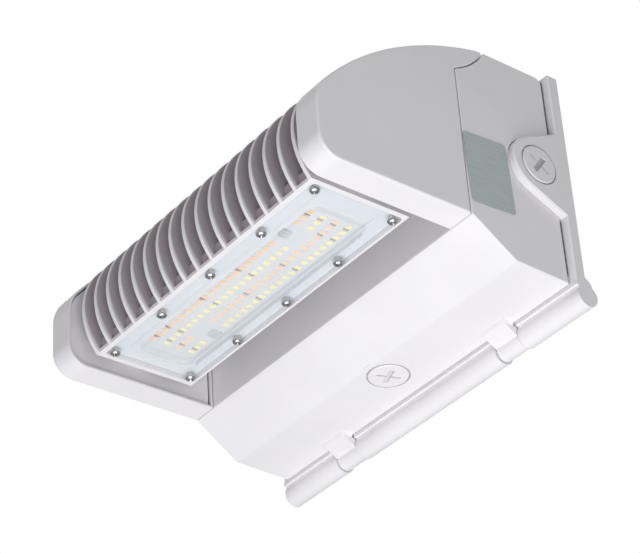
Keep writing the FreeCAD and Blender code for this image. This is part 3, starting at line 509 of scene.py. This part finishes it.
MATERIALS = {
    "white_powder": white_powder(),
    "sink_powder": sink_powder(),
    "foam": foam(),
    "silicone": silicone(),
    "stainless": stainless(),
    "ground_green": ground_green(),
    "pin_steel": pin_steel(),
    "nylon": nylon(),
    "driver_metal": driver_metal(),
    "board_white": board_white(),
    "warm_chip": phosphor("warm_chip", (1.0, 0.62, 0.30), (1.0, 0.55, 0.23)),
    "cool_chip": phosphor("cool_chip", (0.99, 0.86, 0.32), (0.98, 0.80, 0.24)),
    "connector": connector(),
    "clear_lens": clear_lens(),
}
JOINT_SHADE_POWDER = joint_shade_powder()
# painted shade in the plugs' slots, lighter for the bottom plug
side_slot_shade = (0.54, 0.52, 0.55)
bottom_slot_shade = (0.70, 0.685, 0.715)
OWN_FINISH = {
    "left_side_cap": JOINT_SHADE_POWDER,
    "right_side_cap": JOINT_SHADE_POWDER,
    "left_arm_plate": JOINT_SHADE_POWDER,
    "right_arm_plate": JOINT_SHADE_POWDER,
    "housing_seal": dark_seal(),
    "left_conduit_plug": plug_powder("left_plug_powder", "X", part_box("left_conduit_plug")[0].x,
                                     side_slot_shade),
    "right_conduit_plug": plug_powder("right_plug_powder", "X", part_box("right_conduit_plug")[1].x,
                                      side_slot_shade),
    "bottom_plug": plug_powder("bottom_plug_powder", "Z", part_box("bottom_plug")[0].z, bottom_slot_shade),
}
FRAME_WHITE = chip_frame()
MARK_GREY = board_mark()
PLATE_GREY = blank_plate()
SCREW_METAL = screw_metal()


def paint_nodes():
    """Gives each CAD node the material of its slot in the record, or the finish that is its own."""
    for node, slot in slot_of.items():
        mesh = nodes[node].data
        mesh.materials.clear()
        mesh.materials.append(OWN_FINISH.get(node, MATERIALS[slot]))


# ---------------------------------------------------------------- mesh helpers
def middle_of(points):
    return Vector([(min(p[i] for p in points) + max(p[i] for p in points)) / 2 for i in range(3)])


def size_of(points):
    return Vector([max(p[i] for p in points) - min(p[i] for p in points) for i in range(3)])


def solids_of(name):
    """Corner points of each separate solid of a CAD node, in order of their places."""
    work = bmesh.new()
    work.from_mesh(nodes[name].data)
    bmesh.ops.remove_doubles(work, verts=work.verts, dist=weld)
    left = set(work.verts)
    solids = []
    while left:
        found = [left.pop()]
        for vert in found:
            for edge in vert.link_edges:
                other = edge.other_vert(vert)
                if other in left:
                    left.remove(other)
                    found.append(other)
        solids.append([vert.co.copy() for vert in found])
    work.free()
    return sorted(solids, key=lambda points: [round(v, 5) for v in middle_of(points)])


def smoothed(mesh):
    """The mesh, smooth but for its sharp edges."""
    mesh.shade_smooth()
    mesh.set_sharp_from_angle(angle=sharp_angle)
    return mesh


def finished(work, name, material):
    """Smooth mesh from the bmesh."""
    mesh = bpy.data.meshes.new(name)
    bmesh.ops.recalc_face_normals(work, faces=work.faces)
    work.to_mesh(mesh)
    work.free()
    mesh.materials.append(material)
    return smoothed(mesh)


def flat_loop(x, y, half_x, half_y, z):
    """Rectangle about a middle, at height z."""
    return [(x - half_x, y - half_y, z), (x + half_x, y - half_y, z), (x + half_x, y + half_y, z),
            (x - half_x, y + half_y, z)]


def round_loop(half_x, half_y, radius, z):
    """Rectangle with rounded corners about the Z axis, at height z."""
    loop = []
    for turn, (sx, sy) in enumerate(((1, 1), (-1, 1), (-1, -1), (1, -1))):
        for step in range(corner_steps + 1):
            angle = math.radians(90 * turn + 90 * step / corner_steps)
            loop.append((sx * (half_x - radius) + radius * math.cos(angle),
                         sy * (half_y - radius) + radius * math.sin(angle), z))
    return loop


def circle_loop(radius, z):
    """Circle about the Z axis at height z, or its middle where the radius is 0."""
    if radius == 0.0:
        return [(0.0, 0.0, z)]
    turns = [2 * math.pi * i / turned_sides for i in range(turned_sides)]
    return [(radius * math.cos(turn), radius * math.sin(turn), z) for turn in turns]


def add_loops(work, loops):
    """Closed skin through rings of corners; a ring of one corner is a point."""
    rings = [[work.verts.new(corner) for corner in loop] for loop in loops]
    count = max(len(ring) for ring in rings)
    for lower, upper in zip(rings, rings[1:]):
        for i in range(count):
            j = (i + 1) % count
            corners = (lower[i % len(lower)], lower[j % len(lower)], upper[j % len(upper)],
                       upper[i % len(upper)])
            work.faces.new(list(dict.fromkeys(corners)))
    for ring in (rings[0], rings[-1]):
        if len(ring) > 1:
            work.faces.new(ring)


def add_ring(work, loops):
    """Closed skin through loops that come round to the first again, as round a frame."""
    rings = [[work.verts.new(corner) for corner in loop] for loop in loops]
    count = len(rings[0])
    for here, after in zip(rings, rings[1:] + rings[:1]):
        for i in range(count):
            j = (i + 1) % count
            work.faces.new((here[i], here[j], after[j], after[i]))


def skinned(name, material, loops, turn=None):
    """Mesh of a closed skin through loops, turned by a matrix where one is given."""
    work = bmesh.new()
    add_loops(work, loops)
    if turn is not None:
        bmesh.ops.transform(work, matrix=turn, verts=work.verts)
    return finished(work, name, material)


def cut_away(mesh, cutters):
    """The mesh less each cutter, by boolean modifiers whose result is kept."""
    blank = bpy.data.objects.new("blank", mesh)
    tools = [bpy.data.objects.new("cutter", cutter) for cutter in cutters]
    for item in [blank] + tools:
        bpy.context.scene.collection.objects.link(item)
    for tool in tools:
        step = blank.modifiers.new("cut", "BOOLEAN")
        step.operation = "DIFFERENCE"
        step.solver = "EXACT"
        step.object = tool
    shaped = blank.evaluated_get(bpy.context.evaluated_depsgraph_get())
    result = bpy.data.meshes.new_from_object(shaped)
    for item in [blank] + tools:
        bpy.data.objects.remove(item)
    return smoothed(result)


def gathered(name, mesh, matrices):
    """One mesh with a copy of the given mesh at each place."""
    work = bmesh.new()
    for matrix in matrices:
        first = len(work.verts)
        work.from_mesh(mesh)
        work.verts.ensure_lookup_table()
        bmesh.ops.transform(work, matrix=matrix, verts=work.verts[first:])
    return finished(work, name, mesh.materials[0])


def facing(out):
    """Turn that takes +Z to the given direction."""
    return Vector((0, 0, 1)).rotation_difference(out).to_matrix().to_4x4()


def put(name, mesh, matrix, body):
    """Puts a piece in the scene, riding on its body."""
    piece = bpy.data.objects.new(name, mesh)
    bpy.context.scene.collection.objects.link(piece)
    piece.matrix_world = matrix
    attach(piece, body)
    return piece


def put_for(node, name, mesh, matrix):
    """Puts a piece in the stead of a CAD node, on the node's body, and hides the node."""
    piece = put(name, mesh, matrix, body_of[node])
    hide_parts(node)


# ---------------------------------------------------------------- screws
def screw_sizes(points, out):
    """Seat, head radius, shank radius, head height and length of a CAD screw whose head faces out."""
    centre = middle_of(points)
    heights = [(point - centre).dot(out) for point in points]
    radii = [(point - centre - out * height).length for point, height in zip(points, heights)]
    shank = max(r for r, h in zip(radii, heights) if h < min(heights) + weld)
    seat = max(h for r, h in zip(radii, heights) if r < shank + 10 * weld)
    return centre + out * seat, max(radii), shank, max(heights) - seat, seat - min(heights)


def recess_wing(name, head, height, turn):
    """Cutter for one wing of a cross recess: a bar that narrows downwards and stands out above."""
    loops = [flat_loop(0.0, 0.0, head * recess_half_length * length, head * recess_half_width * width,
                       height * level) for level, length, width in recess_levels]
    return skinned(name, SCREW_METAL, loops, Matrix.Rotation(math.radians(turn), 4, "Z"))


def sunk_head(head, height):
    """Radius and height of each ring of a flat sunk head."""
    return [(head * radius, height * level) for radius, level in sunk_rings]


def pan_head(head, height):
    """Radius and height of each ring of a domed pan head."""
    rings = [(head * pan_foot, 0.0), (head * pan_rim, height * pan_rim_bottom)]
    for turn in [math.pi / 2 * step / pan_steps for step in range(pan_steps)]:
        rise = (pan_top - pan_rim_top) * math.sin(turn) ** pan_fullness
        rings.append((head * pan_rim * math.cos(turn) ** pan_fullness, height * (pan_rim_top + rise)))
    return rings + [(0.0, height * pan_top)]


def screw_mesh(name, head, shank, height, length, sunk, material):
    """Screw along Z with its seat at 0 and a cross recess in its head."""
    tip = shank_tip * shank
    rings = [(0.0, -length), (shank - tip, -length), (shank, -length + tip), (shank, 0.0)]
    rings += sunk_head(head, height) if sunk else pan_head(head, height)
    blank = skinned(name, material, [circle_loop(radius, z) for radius, z in rings])
    return cut_away(blank, [recess_wing(name + "_wing", head, height, turn) for turn in (0, 90)])


def dress_screws(node, outward, sunk=False, material=SCREW_METAL):
    """A detailed screw for each solid of the node, each turned a little further than the last.

    outward gives the way that a screw's head faces, from the middle of the screw.
    """
    mesh = None
    for index, points in enumerate(solids_of(node)):
        out = outward(middle_of(points))
        seat, head, shank, height, length = screw_sizes(points, out)
        if mesh is None:
            mesh = screw_mesh(node, head, shank, height, length, sunk, material)
        turn = Matrix.Rotation(math.radians(screw_turn * index), 4, "Z")
        put_for(node, f"{node}_{index + 1}", mesh, Matrix.Translation(seat) @ facing(out) @ turn)


def dress_all_screws():
    dress_screws("lens_screws", lambda p: Vector((0, 0, -1)))
    dress_screws("cover_screws", lambda p: Vector((0, 0, 1)))
    dress_screws("cap_screws", lambda p: Vector((0, 1, 0)))
    dress_screws("driver_screws", lambda p: Vector((0, 1, 0)))
    dress_screws("arm_screws", lambda p: Vector((-math.copysign(1, p.x), 0, 0)), sunk=True)
    dress_screws("ground_screw", lambda p: Vector((0, -1, 0)), material=MATERIALS["ground_green"])


# ---------------------------------------------------------------- the lamp's board
def hang(point):
    """Place and turn of a piece on the board, whose outside faces down."""
    return Matrix.Translation(point) @ Matrix.Rotation(math.pi, 4, "X")


def chip_meshes(size, name, window_material):
    """Frame with a sloped cavity, and the window that fills it, from the size of a CAD chip."""
    x = size.x / 2
    y = size.y / 2
    top = size.z
    rim_x = x - chip_wall
    rim_y = y - chip_wall
    cavity_corner = 2 * chip_corner
    floor = round_loop(rim_x - cavity_slope, rim_y - cavity_slope, cavity_corner, cavity_floor * top)
    walls = [round_loop(x, y, chip_corner, 0.0), round_loop(x, y, chip_corner, top * chip_edge_start),
             round_loop(x - chip_edge, y - chip_edge, chip_corner, top),
             round_loop(rim_x, rim_y, cavity_corner, top)]
    dome = [round_loop((rim_x - window_clearance) * share, (rim_y - window_clearance) * share,
                       cavity_corner * share, top * height) for share, height in window_dome]
    return (skinned(name + "_frame", FRAME_WHITE, walls + [floor]),
            skinned(name + "_window", window_material, [floor] + dome))


def dress_chips(node):
    """Frames and windows of a node's chips, each kind in one piece, and the chips' places on the board."""
    solids = solids_of(node)
    size = size_of(solids[0])
    seats = [middle_of(points) + Vector((0, 0, size.z / 2)) for points in solids]
    slot = slot_of[node]
    for mesh in chip_meshes(size, slot, MATERIALS[slot]):
        group = gathered(mesh.name + "s", mesh, [hang(seat) for seat in seats])
        put_for(node, mesh.name + "s", group, Matrix.Identity(4))
    return seats


def connector_mesh(size):
    """Rounded connector housing with a release window and a wire entry for each of its two poles."""
    x = size.x / 2
    y = size.y / 2
    edge = connector_edge / 3
    grey = MATERIALS["connector"]
    body = skinned("connector_body", grey, [
        round_loop(x, y, connector_corner, 0.0), round_loop(x, y, connector_corner, size.z - connector_edge),
        round_loop(x - edge, y - edge, connector_corner, size.z - edge),
        round_loop(x - connector_edge, y - connector_edge, connector_corner, size.z)])
    cutters = []
    for side in (-1, 1):
        pole = side * pole_place * x
        cutters.append(skinned("window", grey, [
            flat_loop(pole, release_place * y, release_length * x, release_width * y, share * size.z)
            for share in release_levels]))
        start = Vector((pole, entry_start * y, entry_level * size.z))
        cutters.append(skinned("entry", grey, [circle_loop(entry_radius, z) for z in (0.0, entry_length * y)],
                               Matrix.Translation(start) @ facing(Vector((0, 1, 0)))))
    return cut_away(body, cutters)


def dress_connectors():
    for index, points in enumerate(solids_of("board_connectors")):
        size = size_of(points)
        seat = middle_of(points) + Vector((0, 0, size.z / 2))
        put_for("board_connectors", f"board_connector_{index + 1}", connector_mesh(size), hang(seat))


def make_marks(seats):
    """Small dark resistors on the board, between the chips of each row."""
    xs = sorted({round(seat.x, 6) for seat in seats})
    ys = sorted({round(seat.y, 5) for seat in seats})
    pitch = min(b - a for a, b in zip(xs, xs[1:]))
    mark = skinned("board_mark", MARK_GREY, [
        round_loop(mark_width / 2, mark_length / 2, mark_corner, 0.0),
        round_loop(mark_width / 2, mark_length / 2, mark_corner, mark_height * mark_shoulder),
        round_loop(mark_width * mark_top_half_width, mark_length * mark_top_half_length, mark_top_corner,
                   mark_height)])
    places = [hang(Vector((xs[0] + (column + 0.5) * pitch, y, seats[0].z)))
              for y, columns in zip(ys, marks_after) for column in columns]
    put("board_marks", gathered("board_marks", mark, places), Matrix.Identity(4), "lamp_head")


def dress_gasket():
    """Lens gasket: a soft strip with rounded edges, just clear of the lens, pierced by the screws."""
    low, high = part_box("lens_gasket")
    middle = (low + high) / 2
    half_x = (high.x - low.x) / 2
    half_y = (high.y - low.y) / 2
    bottom = gasket_clearance
    top = high.z - low.z - gasket_clearance
    edge = ((gasket_round, bottom), (0.0, bottom + gasket_round), (0.0, top - gasket_round),
            (gasket_round, top))
    outside = [round_loop(half_x - inset, half_y - inset, gasket_corner, z) for inset, z in edge]
    inside = [round_loop(half_x - gasket_width + inset, half_y - gasket_width + inset, gasket_corner, z)
              for inset, z in reversed(edge)]
    work = bmesh.new()
    add_ring(work, outside + inside)
    strip = finished(work, "lens_gasket", MATERIALS["silicone"])
    hole = skinned("hole", MATERIALS["silicone"],
                   [circle_loop(gasket_hole_radius, z) for z in gasket_hole_ends])
    spots = [middle_of(points) for points in solids_of("lens_screws")]
    holes = gathered("holes", hole, [Matrix.Translation((p.x, p.y - middle.y, 0.0)) for p in spots])
    put_for("lens_gasket", "lens_gasket_strip", cut_away(strip, [holes]),
            Matrix.Translation((0.0, middle.y, low.z)))


def dress_board():
    seats = dress_chips("warm_leds") + dress_chips("cool_leds")
    dress_connectors()
    make_marks(seats)
    dress_gasket()


# ---------------------------------------------------------------- the bare plate on the housing
def make_blank_plate():
    """Thin bare plate on the right side of the housing, its corners rounded."""
    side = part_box("driver_housing")[1].x
    corners = [Vector((y * MM, z * MM)) for y, z in plate_corners]
    outline = []
    for before, corner, after in zip(corners[-1:] + corners, corners, corners[1:] + corners[:1]):
        start = corner + (before - corner).normalized() * plate_corner_radius
        end = corner + (after - corner).normalized() * plate_corner_radius
        for share in [step / plate_corner_steps for step in range(plate_corner_steps + 1)]:
            outline.append(start.lerp(corner, share).lerp(corner.lerp(end, share), share))
    loops = [[(side + rise, p.x, p.y) for p in outline] for rise in (0.0, plate_thick)]
    put("blank_plate", skinned("blank_plate", PLATE_GREY, loops), Matrix.Identity(4), "housing")


# ---------------------------------------------------------------- stage
def rotation_from_angles(azimuth, elevation, roll=0.0):
    """Turn of a camera or light that looks along +Y at azimuth 0 and down at a positive elevation."""
    turn = Euler((math.radians(90 - elevation), 0.0, math.radians(azimuth)), "XYZ").to_matrix()
    return turn @ Matrix.Rotation(math.radians(roll), 3, "Z")


def make_camera():
    data = bpy.data.cameras.new("camera")
    data.sensor_width = sensor_width
    data.lens = focal_length
    camera = bpy.data.objects.new("camera", data)
    bpy.context.scene.collection.objects.link(camera)
    rotation = rotation_from_angles(camera_azimuth, camera_elevation, camera_roll)
    camera.matrix_world = Matrix.Translation(camera_place) @ rotation.to_4x4()
    bpy.context.scene.camera = camera


def make_light(name, azimuth, elevation, distance, width, power):
    """Soft square light that looks at the middle of the object from that side."""
    data = bpy.data.lights.new(name, "AREA")
    data.size = width
    data.energy = power
    lamp = bpy.data.objects.new(name, data)
    bpy.context.scene.collection.objects.link(lamp)
    rotation = rotation_from_angles(azimuth, elevation)
    target = (cad_box[0] + cad_box[1]) / 2
    lamp.matrix_world = Matrix.Translation(target + rotation @ Vector((0, 0, distance))) @ rotation.to_4x4()
    lamp.visible_camera = False


def make_lights():
    for light in soft_lights:
        make_light(*light)


def make_world():
    """Pale even light from all round, which the camera, gloss and glass see as white."""
    world = bpy.data.worlds.new("world")
    bpy.context.scene.world = world
    world.use_nodes = True
    tree = world.node_tree
    background = next(n for n in tree.nodes if n.type == "BACKGROUND")
    path = tree.nodes.new("ShaderNodeLightPath")
    seen = path.outputs["Is Camera Ray"]
    for ray in ("Is Glossy Ray", "Is Transmission Ray"):
        either = tree.nodes.new("ShaderNodeMath")
        either.operation = "MAXIMUM"
        tree.links.new(seen, either.inputs[0])
        tree.links.new(path.outputs[ray], either.inputs[1])
        seen = either.outputs["Value"]
    level = tree.nodes.new("ShaderNodeMapRange")
    level.inputs["To Min"].default_value = world_light
    level.inputs["To Max"].default_value = background_white
    tree.links.new(seen, level.inputs["Value"])
    tree.links.new(level.outputs["Result"], background.inputs["Strength"])
    background.inputs["Color"].default_value = (1.0, 1.0, 1.0, 1.0)


def make_floor():
    mesh = bpy.data.meshes.new("floor")
    corners = flat_loop(0.0, 0.0, floor_half_width, floor_half_width, floor_height)
    mesh.from_pydata(corners, [], [(0, 1, 2, 3)])
    mesh.materials.append(pale_floor())
    floor = bpy.data.objects.new("floor", mesh)
    bpy.context.scene.collection.objects.link(floor)


# ---------------------------------------------------------------- the scene
paint_nodes()
dress_all_screws()
dress_board()
make_blank_plate()
make_world()
make_floor()
make_lights()
make_camera()

bpy.context.scene.view_settings.view_transform = "Standard"
